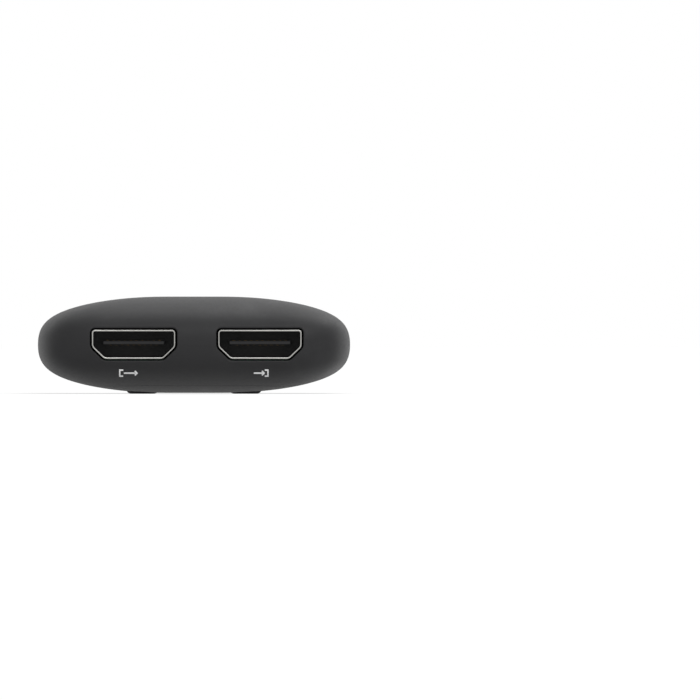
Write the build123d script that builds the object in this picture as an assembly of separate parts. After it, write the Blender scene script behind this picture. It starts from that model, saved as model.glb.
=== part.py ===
from build123d import *
import os

# Video capture box, in millimetres: a pebble-shaped casing around one board. The front end faces -Y and
# holds two video sockets, the rear end faces +Y and holds a computer socket and an audio jack. +X is on
# the right of someone who looks at the front, and the box stands on its feet at z = 0.

# Casing. Its edge curve and its plan curve each run through the control points of one Bezier quarter,
# given as shares of the half sizes: the edge curve as (outwards, upwards), the plan curve as (across, along).
body_length = 96.0
body_width = 54.6
body_height = 16.8
wall = 1.6
edge_shares = ((1, 0), (1, 0.55), (0.91, 0.73), (0.6, 1), (0.2, 1))
plan_shares = ((1, 0), (1, 0.6), (1, 1), (1, 1), (0.68, 1), (0, 1))
opening_round = 0.2
opening_reach = 8.0
cut_overrun = 5.0

# Lid in the belly
lid_end_gap = 8.8
lid_side_gap = 6.8
lid_corner = 12.0
lid_seam = 0.12
lid_ledge = 1.0
lid_rest = 0.05

# Feet and their tapes
foot_diameter = 5.6
foot_thickness = 1.05
foot_stand = 0.15
foot_edge = 0.8
foot_gap = 0.1
foot_across = 18.0
tape_thickness = 0.12
tape_margin = 0.4

# Screws through the lid and the board, under the feet
case_screw_diameter = 2.0
case_screw_length = 9.0
case_screw_head = 3.6
case_screw_head_height = 1.2
screw_gap = 0.1
screw_tip = 0.5
boss_diameter = 5.5
boss_gap = 1.65

# Screws that hold the board
board_screw_diameter = 1.6
board_screw_length = 5.0
board_screw_head = 2.8
board_screw_head_height = 0.9
board_screw_relief = 0.6
post_diameter = 3.8
post_place_shares = ((0.871, -0.33), (-0.871, 0.282))

# Board
board_end_gap = 5.5
board_side_gap = 6.3
board_thickness = 1.2
board_corner = 5.0
board_gap = 0.4
board_hole_gap = 0.15

# Video sockets
video_width = 14.6
video_height = 5.1
video_side_share = 0.59
video_bottom_share = 0.7
video_corner = 0.6
video_bend = 1.2
video_sheet = 0.3
video_depth = 11.2
video_inset = 1.1
video_gap = 0.28
video_lift = 0.05
video_out_place = -10.5
video_in_place = 11.45
video_block_depth = 2.6
video_tongue_width = 10.8
video_tongue_thickness = 0.8
video_tongue_lift = 0.3
video_tongue_inset = 1.4
video_pitch = 1.0
video_upper_count = 10
video_lower_count = 9

# Computer socket
computer_width = 13.0
computer_height = 5.4
computer_corner = 0.6
computer_sheet = 0.4
computer_depth = 12.6
computer_inset = 1.5
computer_gap = 0.28
computer_lift = 0.8
computer_place = -11.14
computer_block_depth = 3.0
computer_tongue_width = 9.6
computer_tongue_thickness = 1.0
computer_tongue_inset = 0.6
computer_wide_shares = (-0.73, -0.21, 0.21, 0.73)
computer_narrow_shares = (-0.917, -0.458, 0, 0.458, 0.917)
computer_wide_contact = 0.9
computer_narrow_contact = 0.45
computer_narrow_setback = 1.2

# What both kinds of socket share
rim_round = 0.12
sheet_fit = 0.04
flange_depth = 1.0
flange_lap = 0.6
leg_width = 1.3
leg_below_board = 0.4
leg_setback = 0.2
leg_step = 2.4
leaf_length = 4.6
leaf_width = 1.7
leaf_slit = 0.25
leaf_spread_share = 0.42
leaf_setback = 2.4
contact_thickness = 0.2
contact_width = 0.4
contact_proud = 0.01
contact_setback = 0.4
contact_foot = 0.8
contact_row_step = 0.5

# Audio jack
jack_place = 12.65
jack_lift = -0.5
jack_opening_diameter = 8.4
jack_nose_diameter = 8.2
jack_nose_inset = 2.3
jack_nose_length = 1.9
jack_bore = 3.6
jack_bore_depth = 13.4
jack_mouth_bevel = 0.35
jack_nose_bevel = 0.2
jack_body_width = 6.6
jack_body_above = 2.9
jack_body_length = 11.8
jack_body_round = 0.4
jack_slot_length = 3.0
jack_slot_height = 1.5
jack_leaf_thickness = 0.25
jack_leaf_gap = 0.12
jack_leg_width = 0.9
jack_slot_step = 3.4
jack_slot_start = 1.2

# Processor and its heat sink
processor_size = 15.0
processor_height = 1.4
pad_margin = 0.5
pad_thickness = 0.5
sink_size = 22.6
sink_base = 1.5
sink_clearance = 1.25
sink_fin = 0.9
sink_fin_count = 8
sink_edge = 0.3

# Other chips: width, length and height, and the place of each centre as shares of the board's half sizes
receiver_size = (10.0, 10.0, 1.0)
receiver_behind = 0.9
driver_size = (7.0, 7.0, 0.9)
driver_place_shares = (-0.738, -0.412)
memory_size = (8.0, 12.0, 1.1)
memory_place_shares = (0.771, -0.047)
bridge_size = (7.6, 7.6, 0.9)
bridge_place_shares = (-0.752, 0.061)
flash_size = (4.0, 5.0, 1.5)
flash_place_shares = (0.743, 0.376)
codec_size = (4.4, 6.4, 1.1)
codec_place_shares = (-0.724, 0.494)
chip_edge = 0.15
lead_width = 0.4
lead_pitch = 1.27
lead_reach = 1.0
lead_thickness = 0.2
lead_count = 4
codec_lead_pitch = 0.8
codec_lead_count = 7

# Small parts: the size of one, and the places as shares of the board's half sizes
crystal_size = (3.2, 2.5, 0.8)
crystal_across_shares = (0.214, -0.262)
crystal_beside = 0.95
spare_crystal_place_shares = (0.738, 0.179)
inductor_size = (4.2, 4.2, 2.0)
inductor_round = 1.2
inductor_along_share = 0.545
inductor_step = 4.6
regulator_size = (3.0, 3.0, 0.8)
regulator_along_share = 0.42
tantalum_size = (3.5, 2.8, 1.8)
tantalum_place_shares = ((0.452, 0.33), (0.452, 0.412), (-0.443, 0.412), (-0.857, -0.188), (0.786, -0.506))
ceramic_size = (1.0, 0.5, 0.5)
ceramic_row_shares = ((-0.695, -0.216), (0.6, -0.24), (-0.286, 0.353), (0.59, 0.254), (-0.848, 0.372))
ceramic_row_counts = (8, 6, 10, 6, 6)
resistor_size = (1.0, 0.5, 0.35)
resistor_row_shares = ((-0.714, -0.259), (0.41, -0.452), (-0.286, 0.311), (0.59, 0.296), (-0.895, 0.193))
resistor_row_counts = (8, 4, 10, 6, 6)
row_step = 1.1
arrester_size = (2.5, 1.0, 0.55)
arrester_step = 3.0
arrester_count = 4
arrester_behind = 1.6

# Worked out from the sizes above
middle_z = foot_stand + body_height / 2
lid_length = body_length - 2 * lid_end_gap
lid_width = body_width - 2 * lid_side_gap
board_length = body_length - 2 * board_end_gap
board_width = body_width - 2 * board_side_gap
contact_reach = flange_depth + contact_row_step + contact_thickness + contact_foot
foot_end_gap = computer_inset + computer_depth + contact_reach + boss_gap + boss_diameter / 2
foot_along = body_length - 2 * foot_end_gap
arrester_y = video_inset + video_depth + contact_reach + arrester_behind - body_length / 2
receiver_y = arrester_y + (arrester_size[1] + receiver_size[1]) / 2 + receiver_behind
crystal_y = receiver_y + (receiver_size[1] + crystal_size[1]) / 2 + crystal_beside
board_top_z = middle_z + video_lift - video_height / 2
board_bottom_z = board_top_z - board_thickness
lid_floor_z = foot_thickness + tape_thickness
touch = 0.01
front_end = Plane(origin=(0, -body_length / 2, middle_z), x_dir=(1, 0, 0), z_dir=(0, -1, 0))
rear_end = Plane(origin=(0, body_length / 2, middle_z), x_dir=(-1, 0, 0), z_dir=(0, 1, 0))
board_drop = middle_z - board_top_z
sink_base_z = board_top_z + processor_height + pad_thickness
sink_top_z = middle_z + body_height / 2 - wall - sink_clearance
on_base = (Align.CENTER, Align.CENTER, Align.MIN)
foot_places = {
    "front_left": (-foot_across / 2, -foot_along / 2),
    "front_right": (foot_across / 2, -foot_along / 2),
    "rear_left": (-foot_across / 2, foot_along / 2),
    "rear_right": (foot_across / 2, foot_along / 2),
}


def on_board(shares):
    """A place on the board, from its shares of the board's half sizes."""
    across, along = shares
    return across * board_width / 2, along * board_length / 2


def box_at(center, size):
    """A block of the given size whose bottom face is centred at the given point."""
    return Pos(*center) * Box(*size, align=on_base)


def rod_at(x, y, low_z, high_z, diameter):
    """An upright round rod between two heights."""
    return Pos(x, y, low_z) * Cylinder(diameter / 2, high_z - low_z, align=on_base)


def block_between(low, high):
    """A block given by two opposite corners."""
    width, height, depth = (b - a for a, b in zip(low, high))
    return Pos(*low) * Box(width, height, depth, align=Align.MIN)


def pebble_point(inset, outwards, upwards, across, along):
    """A control point of the pebble, which is drawn in by the inset on every side."""
    half_width = body_width / 2 - inset
    half_length = body_length / 2 - inset
    half_height = body_height / 2 - inset
    straight = half_length - half_width
    x = half_width * outwards * across
    y = (straight + half_width * outwards) * along
    return Vector(x, y, half_height * upwards)


def pebble_quarter(inset, side, end, rise):
    """One eighth of the pebble's skin, mirrored by the three signs."""
    rows = []
    for outwards, upwards in edge_shares:
        row = [pebble_point(inset, outwards, upwards, across, along) for across, along in plan_shares]
        rows.append([Vector(side * point.X, end * point.Y, rise * point.Z) for point in row])
    return Face.make_bezier_surface(rows)


def pebble_flat(inset, rise):
    """The flat middle of the pebble's top or bottom."""
    outwards, upwards = edge_shares[-1]
    edges = []
    for side, end in ((1, 1), (-1, 1), (-1, -1), (1, -1)):
        row = [pebble_point(inset, outwards, upwards, across, along) for across, along in plan_shares]
        points = [Vector(side * point.X, end * point.Y, rise * point.Z) for point in row]
        edges.append(Edge.make_bezier(*points))
    return Face(Wire(edges))


def pebble(inset):
    """The casing's solid form, drawn in by the inset on every side."""
    faces = [pebble_flat(inset, rise) for rise in (1, -1)]
    for side in (1, -1):
        for end in (1, -1):
            faces += [pebble_quarter(inset, side, end, rise) for rise in (1, -1)]
    return Pos(0, 0, middle_z) * Solid(Shell(faces))


def lid_prism(inset):
    """The upright prism of the lid's outline, from below the belly to the middle of the casing."""
    outline = RectangleRounded(lid_width - 2 * inset, lid_length - 2 * inset, lid_corner - inset)
    low_z = -cut_overrun
    return extrude(Pos(0, 0, low_z) * outline, amount=middle_z - low_z)


def video_outline():
    """The rim of a video socket: a flat top, straight sides, and curved slants in to a narrower bottom."""
    half_width = video_width / 2
    half_height = video_height / 2
    shoulder = half_height - video_height * video_side_share
    half_bottom = half_width * video_bottom_share
    outline = Polygon(
        (-half_width, half_height),
        (-half_width, shoulder),
        (-half_bottom, -half_height),
        (half_bottom, -half_height),
        (half_width, shoulder),
        (half_width, half_height),
        align=None,
    )
    outline = fillet(outline.vertices().sort_by(Axis.Y)[4:], video_corner)
    return fillet(outline.vertices().sort_by(Axis.Y)[:4], video_bend)


def computer_outline():
    """The rim of the computer socket."""
    return RectangleRounded(computer_width, computer_height, computer_corner)


def video_seat(place):
    """The centre of a video socket's rim, as seen from the front."""
    return front_end.location * Pos(place, video_lift, -video_inset)


def computer_seat():
    """The centre of the computer socket's rim, as seen from the rear."""
    return rear_end.location * Pos(computer_place, computer_lift, -computer_inset)


def jack_seat():
    """The centre of the jack's nose, as seen from the rear."""
    return rear_end.location * Pos(jack_place, jack_lift, -jack_nose_inset)


def opening_cut(outline, gap, inset):
    """The tool that cuts an opening for a rim through the end wall."""
    hole = offset(outline, amount=gap)
    return Pos(0, 0, -opening_reach) * extrude(hole, amount=opening_reach + inset + cut_overrun)


def port_openings():
    """The tools that cut the four port openings."""
    video_cut = opening_cut(video_outline(), video_gap, video_inset)
    jack_hole = Circle(jack_opening_diameter / 2)
    return [
        video_seat(video_out_place) * video_cut,
        video_seat(video_in_place) * video_cut,
        computer_seat() * opening_cut(computer_outline(), computer_gap, computer_inset),
        jack_seat() * opening_cut(jack_hole, 0, jack_nose_inset),
    ]


def outer_opening_edges(cover, tools):
    """The edges where the openings meet the outer skin of the cover."""
    core = pebble(wall / 2)
    edges = []
    for edge in cover.edges():
        middle = edge.position_at(0.5)
        on_tool = any(tool.distance_to(middle) < touch for tool in tools)
        if on_tool and not core.is_inside(middle):
            edges.append(edge)
    return edges


def top_cover():
    """The upper casing: a shell with the lid's opening, the port openings, four columns and two posts."""
    cover = pebble(0) - pebble(wall)
    ledge_skin = pebble(wall / 2 + lid_rest)
    cover -= lid_prism(0) - ledge_skin
    cover -= lid_prism(lid_ledge)
    tools = port_openings()
    for tool in tools:
        cover -= tool
    cover = fillet(outer_opening_edges(cover, tools), opening_round)
    inside = pebble(wall / 2)
    for x, y in foot_places.values():
        cover += rod_at(x, y, board_top_z, middle_z + body_height / 2, boss_diameter) & inside
    for x, y in map(on_board, post_place_shares):
        cover += rod_at(x, y, board_top_z, middle_z + body_height / 2, post_diameter) & inside
    for x, y in foot_places.values():
        tip_z = lid_floor_z + case_screw_head_height + case_screw_length + screw_tip
        cover -= rod_at(x, y, 0, tip_z, case_screw_diameter + screw_gap)
    for x, y in map(on_board, post_place_shares):
        tip_z = board_bottom_z + board_screw_length + screw_tip
        cover -= rod_at(x, y, 0, tip_z, board_screw_diameter + screw_gap)
    return cover


def bottom_cover():
    """The lid: a skin flush with the belly, a plug inside the ledge, and four bosses for the screws."""
    skin = pebble(0) & lid_prism(lid_seam)
    skin -= pebble(wall / 2)
    plug = (pebble(wall / 2) & lid_prism(lid_ledge + lid_seam)) - pebble(wall)
    cover = skin + plug
    for x, y in foot_places.values():
        cover += rod_at(x, y, lid_floor_z, board_bottom_z, boss_diameter)
    for x, y in foot_places.values():
        cover -= rod_at(x, y, -cut_overrun, lid_floor_z, foot_diameter + 2 * foot_gap)
        head_top_z = lid_floor_z + case_screw_head_height
        cover -= rod_at(x, y, 0, head_top_z, case_screw_head + 2 * screw_gap)
        cover -= rod_at(x, y, 0, board_top_z, case_screw_diameter + screw_gap)
    relief_z = board_bottom_z - board_screw_head_height - board_screw_relief
    for x, y in map(on_board, post_place_shares):
        cover -= rod_at(x, y, relief_z, board_bottom_z, board_screw_head + 2 * board_screw_relief)
    return cover


def foot(x, y):
    """One rubber foot, with a rounded lower edge."""
    pad = rod_at(x, y, 0, foot_thickness, foot_diameter)
    return fillet(pad.edges().group_by(Axis.Z)[0], foot_edge)


def foot_tapes():
    """The adhesive discs between the feet and the lid."""
    diameter = foot_diameter - 2 * tape_margin
    return [rod_at(x, y, foot_thickness, lid_floor_z, diameter) for x, y in foot_places.values()]


def screw(x, y, head_z, diameter, length, head, head_height):
    """A pan head screw that points up, with a cross in its head and a tapered tip."""
    seat_z = head_z + head_height
    body = rod_at(x, y, head_z, seat_z, head)
    body = fillet(body.edges().group_by(Axis.Z)[0], head_height / 3)
    body += rod_at(x, y, seat_z, seat_z + length, diameter)
    body = chamfer(body.edges().group_by(Axis.Z)[-1], diameter / 4)
    arm = diameter / 4
    reach = head / 2
    for width, depth in ((arm, reach), (reach, arm)):
        body -= box_at((x, y, head_z), (width, depth, head_height / 2))
    return body


def case_screws():
    """The four screws that hold the lid and the board to the columns."""
    sizes = (case_screw_diameter, case_screw_length, case_screw_head, case_screw_head_height)
    return [screw(x, y, lid_floor_z, *sizes) for x, y in foot_places.values()]


def board_screws():
    """The two screws that hold the board to its posts."""
    sizes = (board_screw_diameter, board_screw_length, board_screw_head, board_screw_head_height)
    head_z = board_bottom_z - board_screw_head_height
    return [screw(x, y, head_z, *sizes) for x, y in map(on_board, post_place_shares)]


def shell_leaves(width, height, sheet):
    """The tools that slit two spring leaves in the top and the bottom of a socket's sheet metal."""
    tools = []
    for side in (-1, 1):
        centre = side * width / 2 * leaf_spread_share
        edge = leaf_width / 2
        for level in (height / 2 - 1.5 * sheet, -height / 2 - sheet / 2):
            low_y, high_y = level, level + 2 * sheet
            back_z = -leaf_setback - leaf_length
            for x in (centre - edge - leaf_slit, centre + edge):
                tools.append(block_between((x, low_y, back_z), (x + leaf_slit, high_y, -leaf_setback)))
            front = (centre - edge, low_y, -leaf_setback - leaf_slit)
            tools.append(block_between(front, (centre + edge, high_y, -leaf_setback)))
    return tools


def leg_spans(depth):
    """Where the solder legs of a socket lie along its depth."""
    starts = [-depth + leg_setback + index * leg_step for index in range(2)]
    return [(start, start + leg_width) for start in starts]


def leg_tools(width, sheet, depth, lift, gap):
    """The solder legs of a socket, or with a gap the slots that they pass through."""
    low_y = -board_drop - lift - board_thickness - leg_below_board
    tools = []
    for side in (-1, 1):
        inner, outer = sorted((side * (width / 2 - sheet), side * width / 2))
        for low_z, high_z in leg_spans(depth):
            low = (inner - gap, low_y, low_z - gap)
            tools.append(block_between(low, (outer + gap, 0, high_z + gap)))
    return tools


def socket_shell(outline, width, height, sheet, depth, lift):
    """The bent sheet metal of a socket, open at both ends, with its leaves and solder legs."""
    ring = outline - offset(outline, amount=-sheet)
    shell = Pos(0, 0, -depth) * extrude(ring, amount=depth)
    shell = fillet(shell.edges().group_by(Axis.Z)[-1], rim_round)
    for tool in shell_leaves(width, height, sheet):
        shell -= tool
    for leg in leg_tools(width, sheet, depth, lift, 0):
        shell += leg
    return shell


def bent_contact(x, width, face_y, outward, front_z, tail_z, board_y):
    """A contact strip along the tongue that bends down behind the socket to a foot on the board."""
    proud_y = face_y + outward * contact_proud
    sunk_y = proud_y - outward * contact_thickness
    low_y, high_y = sorted((proud_y, sunk_y))
    left, right = x - width / 2, x + width / 2
    strip = block_between((left, low_y, tail_z), (right, high_y, front_z))
    drop = block_between((left, board_y, tail_z), (right, high_y, tail_z + contact_thickness))
    step = block_between((left, board_y, tail_z - contact_foot), (right, board_y + contact_thickness, tail_z))
    return (strip + drop + step).clean()


def video_contacts():
    """The nineteen contacts of a video socket, in two rows on the tongue."""
    board_y = -board_drop - video_lift
    front_z = -video_tongue_inset - contact_setback
    back_z = -video_depth - flange_depth
    half = video_tongue_thickness / 2
    contacts = []
    for index in range(video_upper_count):
        x = (index - (video_upper_count - 1) / 2) * video_pitch
        tail_z = back_z - contact_row_step - contact_thickness
        face_y = video_tongue_lift + half
        contacts.append(bent_contact(x, contact_width, face_y, 1, front_z, tail_z, board_y))
    for index in range(video_lower_count):
        x = (index - (video_lower_count - 1) / 2) * video_pitch
        tail_z = back_z - contact_thickness
        face_y = video_tongue_lift - half
        contacts.append(bent_contact(x, contact_width, face_y, -1, front_z, tail_z, board_y))
    return contacts


def computer_contacts():
    """The nine contacts of the computer socket, all on the underside of the tongue."""
    board_y = -board_drop - computer_lift
    back_z = -computer_depth - flange_depth
    face_y = -computer_tongue_thickness / 2
    wide_front = -computer_tongue_inset - contact_setback
    narrow_front = -computer_tongue_inset - computer_narrow_setback
    contacts = []
    for share in computer_wide_shares:
        x = share * computer_tongue_width / 2
        tail_z = back_z - contact_thickness
        contacts.append(bent_contact(x, computer_wide_contact, face_y, -1, wide_front, tail_z, board_y))
    for share in computer_narrow_shares:
        x = share * computer_tongue_width / 2
        tail_z = back_z - contact_row_step - contact_thickness
        contacts.append(bent_contact(x, computer_narrow_contact, face_y, -1, narrow_front, tail_z, board_y))
    return contacts


def socket_housing(outline, sheet, depth, block_depth, lift):
    """The moulding of a socket without its tongue: a block inside the shell, and a flange that overlaps its end."""
    inner = offset(outline, amount=-sheet - sheet_fit)
    block = Pos(0, 0, -depth) * extrude(inner, amount=block_depth)
    outer = outline.bounding_box().max
    board_y = -board_drop - lift
    half = outer.X + flange_lap
    flange = block_between((-half, board_y, -depth - flange_depth), (half, outer.Y + flange_lap, -depth))
    return block + flange


def tongue_blade(width, thickness, lift, depth, inset):
    """The flat tongue of a socket, with a bevelled tip, from the given depth to its inset from the rim."""
    low_y = lift - thickness / 2
    blade = block_between((-width / 2, low_y, -depth), (width / 2, low_y + thickness, -inset))
    tip = blade.faces().sort_by(Axis.Z)[-1]
    return chamfer(tip.edges(), thickness / 5)


def without_contacts(moulding, contacts):
    """A moulding with the room that the contacts take in it cut out."""
    for contact in contacts:
        moulding -= contact
    return moulding


def video_shell():
    """The sheet metal of one video socket."""
    return socket_shell(video_outline(), video_width, video_height, video_sheet, video_depth, video_lift)


def video_insulator():
    """The moulding of one video socket, with its tongue."""
    sizes = (video_sheet, video_depth, video_block_depth, video_lift)
    blade_sizes = (video_tongue_width, video_tongue_thickness, video_tongue_lift, video_depth, video_tongue_inset)
    moulding = socket_housing(video_outline(), *sizes) + tongue_blade(*blade_sizes)
    return without_contacts(moulding, video_contacts())


def computer_shell():
    """The sheet metal of the computer socket."""
    sizes = (computer_width, computer_height, computer_sheet, computer_depth, computer_lift)
    return socket_shell(computer_outline(), *sizes)


def computer_blade():
    """The computer socket's tongue before its contacts are let in."""
    sizes = (computer_tongue_width, computer_tongue_thickness, 0, computer_depth, computer_tongue_inset)
    return tongue_blade(*sizes)


def computer_tongue():
    """The blue tongue of the computer socket, whose root sits in the black moulding."""
    return without_contacts(computer_blade(), computer_contacts())


def computer_insulator():
    """The black moulding of the computer socket, with a plate that carries the shell above the board."""
    foot_width = computer_width - 4 * computer_sheet
    sizes = (computer_sheet, computer_depth, computer_block_depth, computer_lift)
    board_y = -board_drop - computer_lift
    front_z = -board_end_gap + computer_inset
    low = (-foot_width / 2, board_y, -computer_depth)
    plate = block_between(low, (foot_width / 2, -computer_height / 2, front_z))
    moulding = socket_housing(computer_outline(), *sizes) + plate - computer_blade()
    return without_contacts(moulding, computer_contacts())


def jack_slots():
    """The three contacts' slots in the jack, each as its side and where it starts and ends."""
    first = -jack_nose_length - jack_slot_start
    spans = []
    for index, side in enumerate((-1, 1, -1)):
        high_z = first - index * jack_slot_step
        spans.append((side, high_z - jack_slot_length, high_z))
    return spans


def line_jack_body():
    """The jack's moulding: a round nose in the case opening and a block on the board, with one bore."""
    nose = Pos(0, 0, -jack_nose_length) * extrude(Circle(jack_nose_diameter / 2), amount=jack_nose_length)
    nose = chamfer(nose.edges().group_by(Axis.Z)[-1], jack_nose_bevel)
    board_y = -board_drop - jack_lift
    half = jack_body_width / 2
    back_z = -jack_nose_length - jack_body_length
    block = block_between((-half, board_y, back_z), (half, jack_body_above, -jack_nose_length))
    upper = block.edges().filter_by(Axis.Z).group_by(Axis.Y)[-1]
    body = nose + fillet(upper, jack_body_round)
    bore = Pos(0, 0, -jack_bore_depth) * extrude(Circle(jack_bore / 2), amount=jack_bore_depth)
    body -= bore
    mouth = body.faces().sort_by(Axis.Z)[-1].edges().sort_by(SortBy.LENGTH)[0]
    body = chamfer(mouth, jack_mouth_bevel)
    for side, low_z, high_z in jack_slots():
        near, far = sorted((0, side * (half + cut_overrun)))
        body -= block_between((near, -jack_slot_height / 2, low_z), (far, jack_slot_height / 2, high_z))
    return body


def jack_contact(side, low_z, high_z):
    """One spring contact of the jack: a leaf beside the bore, an arm out of the slot, a leg to the board."""
    half_height = jack_slot_height / 2 - jack_leaf_gap
    near = jack_bore / 2 + jack_leaf_gap
    outer = jack_body_width / 2 + jack_leaf_gap
    far = outer + jack_leaf_thickness
    board_y = -board_drop - jack_lift
    start_z = low_z + jack_leaf_gap
    pieces = [
        ((near, -half_height, start_z), (near + jack_leaf_thickness, half_height, high_z - jack_leaf_gap)),
        ((near, -half_height, start_z), (far, half_height, start_z + jack_leaf_thickness)),
        ((outer, board_y, start_z), (far, half_height, start_z + jack_leg_width)),
    ]
    contact = None
    for low, high in pieces:
        block = block_between(low, high)
        contact = block if contact is None else contact + block
    contact = contact.clean()
    return contact if side > 0 else mirror(contact, about=Plane.YZ)


def main_board():
    """The circuit board, with holes for the screws and slots for the sockets' legs."""
    outline = RectangleRounded(board_width, board_length, board_corner)
    board = Pos(0, 0, board_bottom_z) * extrude(outline, amount=board_thickness)
    board &= pebble(wall + board_gap)
    for x, y in foot_places.values():
        board -= rod_at(x, y, 0, middle_z, case_screw_diameter + 2 * screw_gap)
    for x, y in map(on_board, post_place_shares):
        board -= rod_at(x, y, 0, middle_z, board_screw_diameter + 2 * screw_gap)
    for place in (video_out_place, video_in_place):
        for leg in leg_tools(video_width, video_sheet, video_depth, video_lift, board_hole_gap):
            board -= video_seat(place) * leg
    for leg in leg_tools(computer_width, computer_sheet, computer_depth, computer_lift, board_hole_gap):
        board -= computer_seat() * leg
    return board


def chip(size, place):
    """A leadless chip with a slightly bevelled top."""
    body = box_at((*place, board_top_z), size)
    return chamfer(body.edges().group_by(Axis.Z)[-1], chip_edge)


def leaded_chip(size, shares, pitch, count):
    """A chip with bent leads along two sides."""
    width, length, height = size
    x, y = on_board(shares)
    body = box_at((x, y, board_top_z + lead_thickness), (width, length, height - lead_thickness))
    body = chamfer(body.edges().group_by(Axis.Z)[-1], chip_edge)
    waist_z = board_top_z + height / 2
    drop_height = waist_z + lead_thickness - board_top_z
    bar = (2 * lead_reach / 3, lead_width, lead_thickness)
    for side in (-1, 1):
        edge_x = x + side * width / 2
        knee_x = edge_x + side * lead_reach / 3
        toe_x = edge_x + side * 2 * lead_reach / 3
        for index in range(count):
            lead_y = y + (index - (count - 1) / 2) * pitch
            body += box_at((edge_x, lead_y, waist_z), bar)
            body += box_at((knee_x, lead_y, board_top_z), (lead_thickness, lead_width, drop_height))
            body += box_at((toe_x, lead_y, board_top_z), bar)
    return body


def heat_sink():
    """The finned block on the processor."""
    sink_height = sink_top_z - sink_base_z
    sink = box_at((0, 0, sink_base_z), (sink_size, sink_size, sink_height))
    sink = chamfer(sink.edges().group_by(Axis.Z)[-1], sink_edge)
    pitch = (sink_size - sink_fin) / (sink_fin_count - 1)
    groove = pitch - sink_fin
    for index in range(sink_fin_count - 1):
        x = -sink_size / 2 + sink_fin + groove / 2 + index * pitch
        size = (groove, sink_size + cut_overrun, sink_height)
        sink -= box_at((x, 0, sink_base_z + sink_base), size)
    return sink


def thermal_pad():
    """The soft pad between the processor and its heat sink."""
    size = processor_size - 2 * pad_margin
    return box_at((0, 0, board_top_z + processor_height), (size, size, pad_thickness))


def supply_places(along_share):
    """The places of the three power supplies' parts, at one share of the board's half length."""
    y = along_share * board_length / 2
    return [(index * inductor_step, y) for index in (-1, 0, 1)]


def crystals():
    """The metal cans that give the clocks."""
    places = [(share * board_width / 2, crystal_y) for share in crystal_across_shares]
    places.append(on_board(spare_crystal_place_shares))
    cans = plain_blocks(crystal_size, places)
    return [fillet(can.edges().filter_by(Axis.Z), chip_edge) for can in cans]


def power_inductors():
    """The round-cornered coils of the supplies."""
    coils = plain_blocks(inductor_size, supply_places(inductor_along_share))
    return [chamfer(coil.edges().filter_by(Axis.Z), inductor_round) for coil in coils]


def plain_blocks(size, places):
    """Equal small parts on the board."""
    return [box_at((*place, board_top_z), size) for place in places]


def row_places(row_shares, row_counts):
    """The places of small parts in rows, each given by its start and its count."""
    places = []
    for shares, count in zip(row_shares, row_counts):
        x, y = on_board(shares)
        places += [(x + index * row_step, y) for index in range(count)]
    return places


def surge_protectors():
    """The protection arrays behind the two video sockets."""
    places = []
    for socket_x in (video_out_place, video_in_place):
        for index in range(arrester_count):
            places.append((socket_x + (index - (arrester_count - 1) / 2) * arrester_step, arrester_y))
    return plain_blocks(arrester_size, places)


def casing_parts():
    """The covers, feet, tapes and screws."""
    parts = {"top_cover": top_cover(), "bottom_cover": bottom_cover()}
    for name, (x, y) in foot_places.items():
        parts["foot_" + name] = foot(x, y)
    parts["foot_tapes"] = foot_tapes()
    parts["case_screws"] = case_screws()
    parts["board_screws"] = board_screws()
    return parts


def port_parts():
    """The two video sockets, the computer socket and the jack."""
    parts = {}
    for name, place in (("video_out", video_out_place), ("video_in", video_in_place)):
        seat = video_seat(place)
        parts[name + "_shell"] = seat * video_shell()
        parts[name + "_insulator"] = seat * video_insulator()
        parts[name + "_contacts"] = [seat * contact for contact in video_contacts()]
    seat = computer_seat()
    parts["computer_port_shell"] = seat * computer_shell()
    parts["computer_port_insulator"] = seat * computer_insulator()
    parts["computer_port_tongue"] = seat * computer_tongue()
    parts["computer_port_contacts"] = [seat * contact for contact in computer_contacts()]
    seat = jack_seat()
    parts["line_jack_body"] = seat * line_jack_body()
    names = ("line_jack_sleeve_contact", "line_jack_ring_contact", "line_jack_tip_contact")
    for name, slot in zip(names, jack_slots()):
        parts[name] = seat * jack_contact(*slot)
    return parts


def board_parts():
    """The board and what it carries."""
    return {
        "main_board": main_board(),
        "processor_chip": chip((processor_size, processor_size, processor_height), (0, 0)),
        "thermal_pad": thermal_pad(),
        "heat_sink": heat_sink(),
        "video_receiver_chip": chip(receiver_size, (0, receiver_y)),
        "video_driver_chip": chip(driver_size, on_board(driver_place_shares)),
        "memory_chip": chip(memory_size, on_board(memory_place_shares)),
        "data_bridge_chip": chip(bridge_size, on_board(bridge_place_shares)),
        "flash_chip": leaded_chip(flash_size, flash_place_shares, lead_pitch, lead_count),
        "audio_codec_chip": leaded_chip(codec_size, codec_place_shares, codec_lead_pitch, codec_lead_count),
        "crystals": crystals(),
        "power_inductors": power_inductors(),
        "regulators": plain_blocks(regulator_size, supply_places(regulator_along_share)),
        "large_capacitors": plain_blocks(tantalum_size, map(on_board, tantalum_place_shares)),
        "small_capacitors": plain_blocks(ceramic_size, row_places(ceramic_row_shares, ceramic_row_counts)),
        "resistors": plain_blocks(resistor_size, row_places(resistor_row_shares, resistor_row_counts)),
        "surge_protectors": surge_protectors(),
    }


def write_parts():
    """Writes one file for each named piece."""
    os.makedirs("parts", exist_ok=True)
    for group in (casing_parts(), port_parts(), board_parts()):
        for name, shape in group.items():
            solids = shape if isinstance(shape, list) else [shape]
            solids = [solid for piece in solids for solid in piece.solids()]
            export_step(Compound(solids), "parts/" + name + ".step")


write_parts()
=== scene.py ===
import logging
import math
from dataclasses import dataclass
from enum import Enum
from typing import Any, Iterator, Sequence

import bmesh
import bpy
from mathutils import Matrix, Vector
from mathutils.bvhtree import BVHTree


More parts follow.
